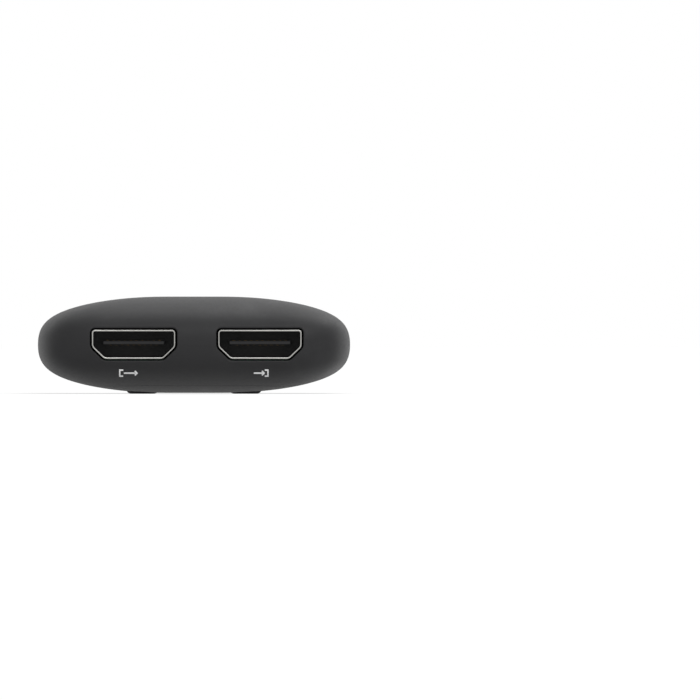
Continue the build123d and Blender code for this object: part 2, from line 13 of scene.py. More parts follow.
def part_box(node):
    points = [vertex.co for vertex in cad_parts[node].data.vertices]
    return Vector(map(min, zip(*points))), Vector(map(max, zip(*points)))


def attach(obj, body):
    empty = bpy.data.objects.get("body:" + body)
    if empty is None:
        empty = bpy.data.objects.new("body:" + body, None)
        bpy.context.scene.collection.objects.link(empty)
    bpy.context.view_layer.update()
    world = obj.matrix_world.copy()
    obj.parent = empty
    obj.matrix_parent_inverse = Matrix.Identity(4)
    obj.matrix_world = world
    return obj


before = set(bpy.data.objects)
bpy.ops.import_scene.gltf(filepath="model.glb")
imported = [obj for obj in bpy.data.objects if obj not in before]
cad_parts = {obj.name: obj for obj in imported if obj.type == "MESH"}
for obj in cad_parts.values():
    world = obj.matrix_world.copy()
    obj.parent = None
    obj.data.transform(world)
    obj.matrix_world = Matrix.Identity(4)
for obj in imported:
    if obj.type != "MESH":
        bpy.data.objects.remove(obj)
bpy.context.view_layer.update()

# Video capture box, dressed: a finish for every carried piece, the plated ends of the small parts on the board,
# the printed marks beside the sockets, and the studio. The front end faces -Y. Blender's lengths are in metres,
# and a name that ends in _mm holds millimetres.

MM = 0.001
LOG = logging.getLogger("capture_box")
BODY = "root"
CASING_HEIGHT_MM = 16.8

# Between these two values a cloud texture has nearly all of its patches
CLOUD_SPAN = (0.3, 0.7)

Point = tuple[float, float]
Colour = tuple[float, float, float, float]
Stroke = tuple[Sequence[Point], float]


def linear(code: str) -> Colour:
    """Turns an sRGB hex colour into linear light.

    Args:
        code: The colour as "#rrggbb".

    Returns:
        Red, green, blue and alpha, linear.
    """
    channels = [int(code[start:start + 2], 16) / 255 for start in (1, 3, 5)]
    red, green, blue = (c / 12.92 if c <= 0.04045 else ((c + 0.055) / 1.055) ** 2.4 for c in channels)
    return (red, green, blue, 1.0)


def per_mm(size_mm: float) -> float:
    """The texture scale of a pattern whose features are size_mm apart."""
    return 1.0 / (size_mm * MM)


def add_node(tree: bpy.types.NodeTree, kind: str, settings: dict[str, Any],
             inputs: dict[Any, Any]) -> bpy.types.Node:
    """Adds one node, with its settings, constants and links.

    Args:
        tree: The node tree that gets the node.
        kind: The node's type name.
        settings: Properties of the node itself.
        inputs: For each input, by name or number, a constant or the socket that feeds it.

    Returns:
        The new node.
    """
    node = tree.nodes.new(kind)
    for name, value in settings.items():
        setattr(node, name, value)
    for key, value in inputs.items():
        if isinstance(value, bpy.types.NodeSocket):
            tree.links.new(value, node.inputs[key])
        else:
            node.inputs[key].default_value = value
    return node


@dataclass
class Surface:
    """What a finish works on while its material is made.

    Attributes:
        tree: The material's node tree.
        place: The coordinates in the object's own frame, in metres.
        share: The coordinates as shares of the piece's box.
        metal: The metallic value, or the socket that gives it.
        colour: The base colour so far.
        gloss: The roughness so far.
        height: The height of the relief so far, in depths of the grain.
    """

    tree: bpy.types.NodeTree
    place: bpy.types.NodeSocket
    share: bpy.types.NodeSocket
    metal: Any
    colour: bpy.types.NodeSocket | None = None
    gloss: bpy.types.NodeSocket | None = None
    height: bpy.types.NodeSocket | None = None

    def axis(self, source: bpy.types.NodeSocket, letter: str) -> bpy.types.NodeSocket:
        """Picks one coordinate, by its letter, out of a vector."""
        return add_node(self.tree, "ShaderNodeSeparateXYZ", {}, {"Vector": source}).outputs[letter]

    def math(self, operation: str, *values: Any) -> bpy.types.NodeSocket:
        """Works out one operation on constants and sockets."""
        node = add_node(self.tree, "ShaderNodeMath", {"operation": operation}, dict(enumerate(values)))
        return node.outputs[0]

    def step(self, source: bpy.types.NodeSocket, start: float, end: float) -> bpy.types.NodeSocket:
        """Rises smoothly from 0 at start to 1 at end."""
        return add_node(self.tree, "ShaderNodeMapRange", {"interpolation_type": "SMOOTHSTEP"}, {
            "Value": source, "From Min": start, "From Max": end}).outputs["Result"]

    def cells(self, size_mm: float, randomness: float) -> bpy.types.Node:
        """Scatters points about size_mm apart and gives the node that tells how far each place is from one."""
        return add_node(self.tree, "ShaderNodeTexVoronoi", {}, {
            "Vector": self.place, "Scale": per_mm(size_mm), "Randomness": randomness})

    def noise(self, size_mm: float, detail: float,
              stretch: Sequence[float] = (1.0, 1.0, 1.0)) -> bpy.types.NodeSocket:
        """Makes a cloud.

        Args:
            size_mm: How far its patches are apart.
            detail: How many finer layers it has.
            stretch: How much it is drawn out along X, Y and Z.

        Returns:
            The cloud's value, from 0 to 1.
        """
        squeeze = tuple(1.0 / amount for amount in stretch)
        drawn = add_node(self.tree, "ShaderNodeMapping", {}, {"Vector": self.place, "Scale": squeeze})
        return add_node(self.tree, "ShaderNodeTexNoise", {}, {
            "Vector": drawn.outputs["Vector"], "Scale": per_mm(size_mm), "Detail": detail,
            "Roughness": 0.6}).outputs["Fac"]

    def blend(self, amount: bpy.types.NodeSocket, code: str, gloss: float | None = None,
              metal: float | None = None) -> None:
        """Lays another finish over this one.

        Args:
            amount: Where it lies, from 0 to 1.
            code: Its hex colour.
            gloss: Its roughness, if that differs.
            metal: Its metallic value, if that differs.
        """
        self.colour = add_node(self.tree, "ShaderNodeMix", {"data_type": "RGBA"}, {
            "Factor": amount, 6: self.colour, 7: linear(code)}).outputs[2]
        if gloss is not None:
            self.gloss = add_node(self.tree, "ShaderNodeMix", {}, {
                "Factor": amount, 2: self.gloss, 3: gloss}).outputs[0]
        if metal is not None:
            self.metal = add_node(self.tree, "ShaderNodeMix", {}, {
                "Factor": amount, 2: self.metal, 3: metal}).outputs[0]


@dataclass(frozen=True)
class Finish:
    """A surface of two close colours in slow patches, with a fine grain in its gloss and relief.

    Attributes:
        name: The material's name.
        dark: The hex colour of the darker patches.
        light: The hex colour of the lighter patches.
        roughness: The mean roughness.
        swing: How far the roughness wanders to each side.
        grain_mm: The spacing of the fine grain.
        relief_mm: The depth of the fine grain.
        patch_mm: The spacing of the colour's patches.
        metallic: 1 for a metal.
        specular: The specular level of a non-metal.
        stretch: How much the grain is drawn out along X, Y and Z.
    """

    name: str
    dark: str
    light: str
    roughness: float
    swing: float
    grain_mm: float
    relief_mm: float
    patch_mm: float
    metallic: float = 0.0
    specular: float = 0.5
    stretch: tuple[float, float, float] = (1.0, 1.0, 1.0)

    def build(self) -> bpy.types.Material:
        """Makes the material, or gives the one that is already made.

        Returns:
            The material.
        """
        if self.name in bpy.data.materials:
            return bpy.data.materials[self.name]
        material = bpy.data.materials.new(self.name)
        material.use_nodes = True
        tree = material.node_tree
        tree.nodes.clear()
        where = add_node(tree, "ShaderNodeTexCoord", {}, {})
        surface = Surface(tree, where.outputs["Object"], where.outputs["Generated"], self.metallic)
        low, high = CLOUD_SPAN
        patches = surface.noise(self.patch_mm, detail=4.0)
        surface.height = surface.noise(self.grain_mm, detail=3.0, stretch=self.stretch)
        mixed = add_node(tree, "ShaderNodeValToRGB", {}, {"Fac": patches})
        for stop, place, code in zip(mixed.color_ramp.elements, (low, high), (self.dark, self.light)):
            stop.position = place
            stop.color = linear(code)
        surface.colour = mixed.outputs["Color"]
        surface.gloss = add_node(tree, "ShaderNodeMapRange", {}, {
            "Value": surface.height, "From Min": low, "From Max": high, "To Min": self.roughness - self.swing,
            "To Max": self.roughness + self.swing}).outputs["Result"]
        self.detail(surface)
        bump = add_node(tree, "ShaderNodeBump", {}, {
            "Height": surface.height, "Strength": 1.0, "Distance": self.relief_mm * MM})
        shader = add_node(tree, "ShaderNodeBsdfPrincipled", {}, {
            "Base Color": surface.colour, "Roughness": surface.gloss, "Metallic": surface.metal,
            "Specular IOR Level": self.specular, "Normal": bump.outputs["Normal"]})
        add_node(tree, "ShaderNodeOutputMaterial", {}, {"Surface": shader.outputs["BSDF"]})
        return material

    def detail(self, surface: Surface) -> None:
        """Adds what this finish alone has. A plain finish adds nothing."""


@dataclass(frozen=True)
class HandledPlastic(Finish):
    """Textured plastic that hands have rubbed a little, with a few specks of dust.

    Attributes:
        smear_mm: The spacing of the smears.
        smear_stretch: How much the smears are drawn out along X, Y and Z.
        smear_edge: The values of their cloud at which a smear starts and is full.
        smear_cover: How strongly a smear tints the skin.
        smear_polish: How much smoother a smear is.
        speck_mm: The spacing of the places where a speck may lie.
        speck_share: A speck's radius, as a share of that spacing.
        speck_rarity: The share of those places that stay clean.
        speck_cover: How strongly a speck shows.
    """

    smear_mm: float = 17.0
    smear_stretch: tuple[float, float, float] = (1.0, 2.2, 1.0)
    smear_edge: Point = (0.54, 0.72)
    smear_cover: float = 0.22
    smear_polish: float = 0.05
    speck_mm: float = 2.6
    speck_share: float = 0.022
    speck_rarity: float = 0.8
    speck_cover: float = 0.35

    def detail(self, surface: Surface) -> None:
        """Adds faint smears, which are smoother and a shade lighter, and sparse pale specks.

        Args:
            surface: The surface so far.
        """
        cloud = surface.noise(self.smear_mm, detail=6.0, stretch=self.smear_stretch)
        smear = surface.step(cloud, *self.smear_edge)
        surface.blend(surface.math("MULTIPLY", smear, self.smear_cover), "#404142")
        surface.gloss = surface.math("MULTIPLY_ADD", smear, -self.smear_polish, surface.gloss)
        cells = surface.cells(self.speck_mm, randomness=1.0)
        near = surface.math("LESS_THAN", cells.outputs["Distance"], self.speck_share)
        chosen = surface.math("GREATER_THAN", surface.axis(cells.outputs["Color"], "X"), self.speck_rarity)
        speck = surface.math("MULTIPLY", near, chosen)
        surface.blend(surface.math("MULTIPLY", speck, self.speck_cover), "#8a8a88")


@dataclass(frozen=True)
class RimmedSheet(Finish):
    """Plated sheet, bright at the rim, duller down its sides, and darker there with painted shade of the
    socket's recess.

    Attributes:
        rim_mm: How far from the casing's middle, along Y, the painted shade and the dulling start behind the
            bright rim.
        side_mm: How far from the middle the sheet is fully dull and fully darkened by the painted shade.
    """

    rim_mm: float = 46.1
    side_mm: float = 44.9

    def detail(self, surface: Surface) -> None:
        """Dulls the sheet behind the rim and darkens it there with painted shade.

        Args:
            surface: The surface so far.
        """
        reach = surface.math("ABSOLUTE", surface.axis(surface.place, "Y"))
        behind = surface.step(surface.math("MULTIPLY", reach, -1.0), -self.rim_mm * MM, -self.side_mm * MM)
        # Painted shade: the sheet inside the socket's recess is darkened where shade falls, and made rougher
        surface.blend(behind, "#5b5b5a", gloss=0.5)


@dataclass(frozen=True)
class CircuitBoard(Finish):
    """Solder resist with the copper below it just showing as slightly raised lines, and small plated holes.

    Attributes:
        layers: The turn of each layer of tracks, with its scale in mm.
        track_width: A track's width, in its layer's scale.
        track_length: The length of a straight run, in that scale.
        track_step: The distance between rows of tracks, in that scale.
        track_cover: How strongly a track tints the resist.
        track_rise: How much a track adds to the relief.
        hole_mm: The spacing of the plated holes.
        hole_share: A hole's radius, as a share of that spacing.
    """

    layers: tuple[Point, ...] = ((0.0, 0.9), (math.pi / 2, 1.3))
    track_width: float = 0.11
    track_length: float = 9.0
    track_step: float = 0.6
    track_cover: float = 0.5
    track_rise: float = 0.7
    hole_mm: float = 2.2
    hole_share: float = 0.1

    def detail(self, surface: Surface) -> None:
        """Adds two layers of straight tracks and a scatter of plated holes.

        Args:
            surface: The surface so far.
        """
        for turn, size_mm in self.layers:
            turned = add_node(surface.tree, "ShaderNodeMapping", {}, {
                "Vector": surface.place, "Rotation": (0.0, 0.0, turn)})
            tracks = add_node(surface.tree, "ShaderNodeTexBrick", {"offset": 0.37, "offset_frequency": 2}, {
                "Vector": turned.outputs["Vector"], "Scale": per_mm(size_mm), "Mortar Size": self.track_width,
                "Mortar Smooth": 0.2, "Brick Width": self.track_length, "Row Height": self.track_step})
            lines = tracks.outputs["Fac"]
            surface.blend(surface.math("MULTIPLY", lines, self.track_cover), "#1c6b43")
            surface.height = surface.math("MULTIPLY_ADD", lines, self.track_rise, surface.height)
        distance = surface.cells(self.hole_mm, randomness=0.9).outputs["Distance"]
        surface.blend(surface.math("LESS_THAN", distance, self.hole_share), "#c9b26a", gloss=0.3, metal=1.0)


@dataclass(frozen=True)
class MarkedChip(Finish):
    """Cast resin with the small round dent that shows a chip's first contact, and bright leads where it has any.

    Attributes:
        dot: The dent's centre, as shares of the chip's box.
        dot_radius: The dent's radius, as a share of the box.
        dot_floor: The share of the radius where the dent's flat floor ends.
        dot_depth: The dent's depth, in depths of the grain.
        lead_share: The share of the width, at each side, that the leads take up.
    """

    dot: Point = (0.14, 0.86)
    dot_radius: float = 0.045
    dot_floor: float = 0.8
    dot_depth: float = 1.5
    lead_share: float = 0.0

    def detail(self, surface: Surface) -> None:
        """Adds the dent and the leads.

        Args:
            surface: The surface so far.
        """
        across, along = surface.axis(surface.share, "X"), surface.axis(surface.share, "Y")
        off_x = surface.math("SUBTRACT", across, self.dot[0])
        off_y = surface.math("SUBTRACT", along, self.dot[1])
        squares = surface.math("MULTIPLY_ADD", off_x, off_x, surface.math("MULTIPLY", off_y, off_y))
        past = surface.step(surface.math("SQRT", squares), self.dot_radius * self.dot_floor, self.dot_radius)
        dent = surface.math("SUBTRACT", 1.0, past)
        surface.blend(dent, "#3b3c3e", gloss=0.3)
        surface.height = surface.math("MULTIPLY_ADD", dent, -self.dot_depth, surface.height)
        if self.lead_share > 0:
            off_middle = surface.math("ABSOLUTE", surface.math("SUBTRACT", across, 0.5))
            lead = surface.math("GREATER_THAN", off_middle, 0.5 - self.lead_share)
            surface.blend(lead, "#c4c4c2", gloss=0.3, metal=1.0)


# ABS blend moulded in a spark-eroded tool: near black, evenly matt, with a grain felt more than seen.
# The real grain is 0.05 mm apart and is drawn at 0.24 mm, so that it shows.
CASING = HandledPlastic("spark_textured_abs", "#2b2b2c", "#2f2f30", 0.52, 0.05, 0.24, 0.006, 14.0,
                        specular=0.13)
# Silicone rubber, compression moulded: duller and a shade greyer than the casing, with a soft skin.
FOOT_RUBBER = Finish("moulded_silicone_rubber", "#2e2e2f", "#343435", 0.8, 0.06, 0.18, 0.01, 3.0, specular=0.25)
# Sheet brass, stamped, drawn and nickel plated: a bright rim, with faint drawing lines down its sides, which are
# darkened by painted shade.
SHELL_METAL = RimmedSheet("nickel_plated_sheet", "#a3a29f", "#b0afab", 0.3, 0.06, 0.12, 0.002, 4.0,
                          metallic=1.0, stretch=(1.0, 14.0, 1.0))
# Glass-filled polyamide, moulded: a dull black with a slight streak. On the computer socket's block behind its
# blue tongue, this black is painted shade of the socket's cavity.
BLACK_MOULDING = Finish("glass_filled_polyamide", "#101012", "#151517", 0.45, 0.07, 0.2, 0.004, 2.5,
                        specular=0.35)
# Thermoplastic polyester, moulded in a polished tool: the plain blue of the computer socket's tongue.
BLUE_MOULDING = Finish("blue_moulded_polyester", "#2563a8", "#2c6db4", 0.38, 0.05, 0.25, 0.003, 3.0)
# Copper alloy strip with a hard gold flash: a warm line on each contact, its gold darkened as painted shade of
# the sockets it sits in.
CONTACT_GOLD = Finish("gold_flashed_strip", "#a88440", "#b8934c", 0.32, 0.06, 0.15, 0.001, 1.5, metallic=1.0)
# Steel wire, cold headed and zinc plated: a soft grey shine.
SCREW_STEEL = Finish("zinc_plated_steel", "#a9abad", "#b9bbbd", 0.34, 0.08, 0.15, 0.003, 1.2, metallic=1.0)
# Adhesive transfer film with its paper colour.
TAPE = Finish("adhesive_film", "#c8c4b8", "#d2cec3", 0.6, 0.05, 0.3, 0.004, 2.0)
# Glass-fibre laminate, etched, under green solder resist: half gloss, with the tracks showing through.
BOARD_LAMINATE = CircuitBoard("etched_glass_laminate", "#0c3a26", "#11492f", 0.32, 0.08, 0.35, 0.012, 5.0)
# Epoxy compound that chips are cast in: charcoal with a very fine matt skin.
CHIP_RESIN = MarkedChip("cast_chip_resin", "#1b1c1e", "#232426", 0.5, 0.06, 0.12, 0.003, 2.0, specular=0.35)
# The same resin on the two chips with bent, tin-plated leads.
LEADED_RESIN = MarkedChip("cast_resin_tinned_leads", "#1b1c1e", "#232426", 0.5, 0.06, 0.12, 0.003, 2.0,
                          specular=0.35, dot=(0.22, 0.88), lead_share=0.115)
# The same resin on parts too small for a mark.
SMALL_RESIN = Finish("cast_small_resin", "#1b1c1e", "#232426", 0.5, 0.06, 0.12, 0.003, 2.0, specular=0.35)
# Extruded aluminium, left plain: pale, with lines along the extrusion.
SINK_ALUMINIUM = Finish("extruded_aluminium", "#c3c5c8", "#d2d4d6", 0.36, 0.08, 0.1, 0.004, 6.0, metallic=1.0,
                        stretch=(1.0, 30.0, 1.0))
# Ceramic-filled silicone sheet: chalky grey-blue.
GAP_PAD = Finish("filled_silicone_pad", "#8a94a8", "#99a2b4", 0.8, 0.05, 0.2, 0.008, 2.0, specular=0.3)
# Nickel silver, deep drawn: the bright round-cornered cans of the clock crystals.
CRYSTAL_CAN = Finish("drawn_nickel_can", "#b9bab8", "#c8c9c7", 0.3, 0.07, 0.15, 0.002, 1.5, metallic=1.0)
# Ferrite, pressed and sintered: dark grey with a slightly sparkling grain.
FERRITE = Finish("sintered_ferrite", "#2e2f31", "#3c3d40", 0.6, 0.12, 0.15, 0.01, 1.2)
# Epoxy, transfer moulded and dyed yellow, as tantalum capacitors are.
CAPACITOR_RESIN = Finish("yellow_moulded_resin", "#b9832a", "#c99236", 0.42, 0.06, 0.2, 0.004, 1.5)
# Barium titanate ceramic, fired: tan, half gloss.
CAPACITOR_CERAMIC = Finish("fired_tan_ceramic", "#96775a", "#a98a6b", 0.4, 0.06, 0.1, 0.003, 0.8)
# Black glaze over the resistors' alumina.
RESISTOR_GLAZE = Finish("black_resistor_glaze", "#151515", "#1d1d1d", 0.28, 0.05, 0.1, 0.002, 0.6)
# Tin, electroplated over nickel: the pale soft-edged ends of the small parts.
END_TIN = Finish("electroplated_tin", "#b4b5b4", "#c6c6c4", 0.35, 0.08, 0.1, 0.003, 0.7, metallic=1.0)
# White pad-printing ink: thin and flat, a little broken by the texture below it.
PRINT_INK = Finish("white_pad_print", "#f6f7f7", "#fdfdfd", 0.6, 0.06, 0.15, 0.003, 0.8, specular=0.3)


class End(Enum):
    """An end of the casing, as the sign of its Y direction."""

    FRONT = -1
    REAR = 1


def finish_node(name: str, finish: Finish) -> None:
    """Puts a finish on one carried piece.

    Args:
        name: The piece's node name.
        finish: The finish that it gets.
    """
    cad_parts[name].material_slots[0].material = finish.build()
    LOG.info("%s wears %s", name, finish.name)


def add_piece(name: str, mesh: bmesh.types.BMesh, finish: Finish) -> bpy.types.Object:
    """Makes a piece of the object from a finished mesh.

    Args:
        name: The piece's name.
        mesh: Its mesh, which is used up.
        finish: Its finish.

    Returns:
        The piece, riding on the body.
    """
    bmesh.ops.recalc_face_normals(mesh, faces=mesh.faces)
    data = bpy.data.meshes.new(name)
    mesh.to_mesh(data)
    mesh.free()
    data.materials.append(finish.build())
    piece = bpy.data.objects.new(name, data)
    bpy.context.scene.collection.objects.link(piece)
    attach(piece, BODY)
    LOG.info("%s built, %d faces", name, len(data.polygons))
    return piece


@dataclass
class Casing:
    """The two covers, the feet with their tapes, and the screws."""

    covers: Sequence[str] = ("top_cover", "bottom_cover")
    feet: Sequence[str] = ("foot_front_left", "foot_front_right", "foot_rear_left", "foot_rear_right")
    screws: Sequence[str] = ("case_screws", "board_screws")

    def dress(self) -> None:
        """Gives each piece its finish."""
        for name in self.covers:
            finish_node(name, CASING)
        for name in self.feet:
            finish_node(name, FOOT_RUBBER)
        for name in self.screws:
            finish_node(name, SCREW_STEEL)
        finish_node("foot_tapes", TAPE)

    def skin(self) -> BVHTree:
        """The upper cover's surface, to print on."""
        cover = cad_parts["top_cover"].data
        return BVHTree.FromPolygons([v.co for v in cover.vertices], [p.vertices for p in cover.polygons])


@dataclass
class Socket:
    """A socket of bent sheet metal around a moulding with contacts.

    Attributes:
        prefix: What its nodes' names start with.
        tongue: The node of its tongue, where that is a piece of its own.
    """

    prefix: str
    tongue: str | None = None

    def dress(self) -> None:
        """Gives each piece its finish."""
        finish_node(self.prefix + "_shell", SHELL_METAL)
        finish_node(self.prefix + "_insulator", BLACK_MOULDING)
        finish_node(self.prefix + "_contacts", CONTACT_GOLD)
        if self.tongue:
            finish_node(self.tongue, BLUE_MOULDING)


@dataclass
class LineJack:
    """The round audio jack."""

    contacts: Sequence[str] = ("sleeve", "ring", "tip")

    def dress(self) -> None:
        """Gives each piece its finish."""
        finish_node("line_jack_body", BLACK_MOULDING)
        for name in self.contacts:
            finish_node("line_jack_" + name + "_contact", CONTACT_GOLD)


@dataclass
class Electronics:
    """The board and what it carries.

    Attributes:
        chips: The nodes of the leadless chips.
        leaded: The nodes of the chips with bent leads.
        end_share: The share of a small part's length that each plated end covers.
        plating_mm: How far the plating stands out.
        plating_edge_mm: The bevel along its edges.
        weld_mm: How close corners of a body's mesh are joined.
    """

    chips: Sequence[str] = ("processor_chip", "video_receiver_chip", "video_driver_chip", "memory_chip",
                            "data_bridge_chip")
    leaded: Sequence[str] = ("flash_chip", "audio_codec_chip")
    end_share: float = 0.24
    plating_mm: float = 0.012
    plating_edge_mm: float = 0.03
    weld_mm: float = 0.001

    def dress(self) -> None:
        """Gives each piece its finish and adds the plated ends."""
        for name in self.chips:
            finish_node(name, CHIP_RESIN)
        for name in self.leaded:
            finish_node(name, LEADED_RESIN)
        for name in ("regulators", "surge_protectors"):
            finish_node(name, SMALL_RESIN)
        singles = {
            "main_board": BOARD_LAMINATE, "heat_sink": SINK_ALUMINIUM, "thermal_pad": GAP_PAD,
            "crystals": CRYSTAL_CAN, "power_inductors": FERRITE, "large_capacitors": CAPACITOR_RESIN,
            "small_capacitors": CAPACITOR_CERAMIC, "resistors": RESISTOR_GLAZE,
        }
        for name, finish in singles.items():
            finish_node(name, finish)
        for name in ("small_capacitors", "resistors", "large_capacitors"):
            self.plated_ends(name)

    def bodies(self, name: str) -> Iterator[tuple[Vector, Vector]]:
        """Gives the lowest and highest corner of each separate body in a node.

        Args:
            name: The node.

        Yields:
            The two corners of one body.
        """
        mesh = bmesh.new()
        mesh.from_mesh(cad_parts[name].data)
        bmesh.ops.remove_doubles(mesh, verts=mesh.verts, dist=self.weld_mm * MM)
        unseen = set(mesh.verts)
        while unseen:
            stack, body = [unseen.pop()], []
            while stack:
                vert = stack.pop()
                body.append(vert.co.copy())
                for edge in vert.link_edges:
                    other = edge.other_vert(vert)
                    if other in unseen:
                        unseen.remove(other)
                        stack.append(other)
            yield (Vector(map(min, zip(*body))), Vector(map(max, zip(*body))))
        mesh.free()

    def plated_ends(self, name: str) -> bpy.types.Object:
        """Adds a thin bright cap round both ends of each body in a node.

        Args:
            name: The node whose bodies get the caps.

        Returns:
            The caps, as one piece.
        """
        mesh = bmesh.new()
        out = self.plating_mm * MM
        for low, high in self.bodies(name):
            reach = (high.x - low.x) * self.end_share
            for start, end in ((low.x - out, low.x + reach), (high.x - reach, high.x + out)):
                corners = (Vector((start, low.y - out, low.z)), Vector((end, high.y + out, high.z + out)))
                made = bmesh.ops.create_cube(mesh, size=1.0)["verts"]
                middle, size = (corners[0] + corners[1]) / 2, corners[1] - corners[0]
                for vert in made:
                    vert.co = middle + Vector(a * b for a, b in zip(vert.co, size))
        edge = self.plating_edge_mm * MM
        bmesh.ops.bevel(mesh, geom=mesh.edges[:], offset=edge, segments=1, affect="EDGES")
        return add_piece(name + "_plated_ends", mesh, END_TIN)


@dataclass
class PrintedMark:
    """A white pictogram printed on the casing beside a socket.

    Attributes:
        name: The piece's name.
        end: The end of the casing that it is on.
        across_mm: Its centre, to the right of the middle for someone who faces that end.
        height_mm: Its centre's height above the middle of the casing.
        strokes: Polylines in mm about its centre, each with its width. One that ends where it starts is closed.
        tilt: How far it is turned, in degrees.
        ink_mm: The thickness of the ink above the skin, and how deep it reaches into it.
        step_mm: How often a stroke is set down on the curved skin.
        far_mm: How far from the middle the search for the skin starts.
    """

    name: str
    end: End
    across_mm: float
    height_mm: float
    strokes: Sequence[Stroke]
    tilt: float = 0.0
    ink_mm: float = 0.02
    step_mm: float = 0.12
    far_mm: float = 200.0

    def sides(self, points: Sequence[Point], width: float) -> list[tuple[Vector, Vector]]:
        """Finds both edges of a stroke at each of its points, mitred where it bends.

        Args:
            points: The stroke's points.
            width: Its width.

        Returns:
            The left and right corner at each point.
        """
        line = [Vector(point) for point in points]
        closed = (line[0] - line[-1]).length < self.ink_mm
        ways = [(b - a).normalized() for a, b in zip(line, line[1:])]
        pairs = []
        for index, point in enumerate(line):
            before = ways[index - 1] if index or closed else ways[0]
            after = ways[index % len(ways)] if index < len(ways) or closed else ways[-1]
            normals = [Vector((-way.y, way.x)) for way in (before, after)]
            reach = (normals[0] + normals[1]) / (1 + normals[0].dot(normals[1])) * width / 2
            pairs.append((point + reach, point - reach))
        return pairs

    def rungs(self, points: Sequence[Point], width: float) -> list[tuple[Vector, Vector]]:
        """Finds both edges of a stroke at short steps along it.

        Args:
            points: The stroke's points.
            width: Its width.

        Returns:
            The left and right edge at each step.
        """
        pairs = self.sides(points, width)
        rungs = [pairs[0]]
        for (left, right), (next_left, next_right) in zip(pairs, pairs[1:]):
            count = max(1, round((next_left - left).length / self.step_mm))
            parts = [n / count for n in range(1, count + 1)]
            rungs += [(left.lerp(next_left, part), right.lerp(next_right, part)) for part in parts]
        return rungs

    def lay(self, skin: BVHTree, middle_z: float, spot: Vector) -> tuple[Vector, Vector]:
        """Finds where a point of the mark lies on the casing.

        Args:
            skin: The casing's surface.
            middle_z: The height of the casing's middle.
            spot: The point, in mm about the mark's centre.

        Returns:
            The place just under the skin and the one on top of the ink.
        """
        turn = math.radians(self.tilt)
        across = spot.x * math.cos(turn) - spot.y * math.sin(turn) + self.across_mm
        rise = spot.x * math.sin(turn) + spot.y * math.cos(turn) + self.height_mm
        side = -self.end.value
        start = Vector((side * across * MM, self.end.value * self.far_mm * MM, middle_z + rise * MM))
        hit, normal, _, _ = skin.ray_cast(start, Vector((0.0, side, 0.0)))
        return (hit - normal * self.ink_mm * MM, hit + normal * self.ink_mm * MM)

    def build(self, skin: BVHTree, middle_z: float) -> bpy.types.Object:
        """Lays the ink on the casing.

        Args:
            skin: The casing's surface.
            middle_z: The height of the casing's middle.

        Returns:
            The mark.
        """
        mesh = bmesh.new()
        for points, width in self.strokes:
            rings = []
            strips = math.ceil(width / (2 * self.step_mm))
            for left, right in self.rungs(points, width):
                laid = [self.lay(skin, middle_z, left.lerp(right, n / strips)) for n in range(strips + 1)]
                ring = [under for under, _ in laid] + [top for _, top in reversed(laid)]
                rings.append([mesh.verts.new(place) for place in ring])
            for ring, after in zip(rings, rings[1:]):
                for n in range(len(ring)):
                    mesh.faces.new((ring[n - 1], ring[n], after[n], after[n - 1]))
            mesh.faces.new(rings[0])
            mesh.faces.new(rings[-1])
        return add_piece(self.name, mesh, PRINT_INK)


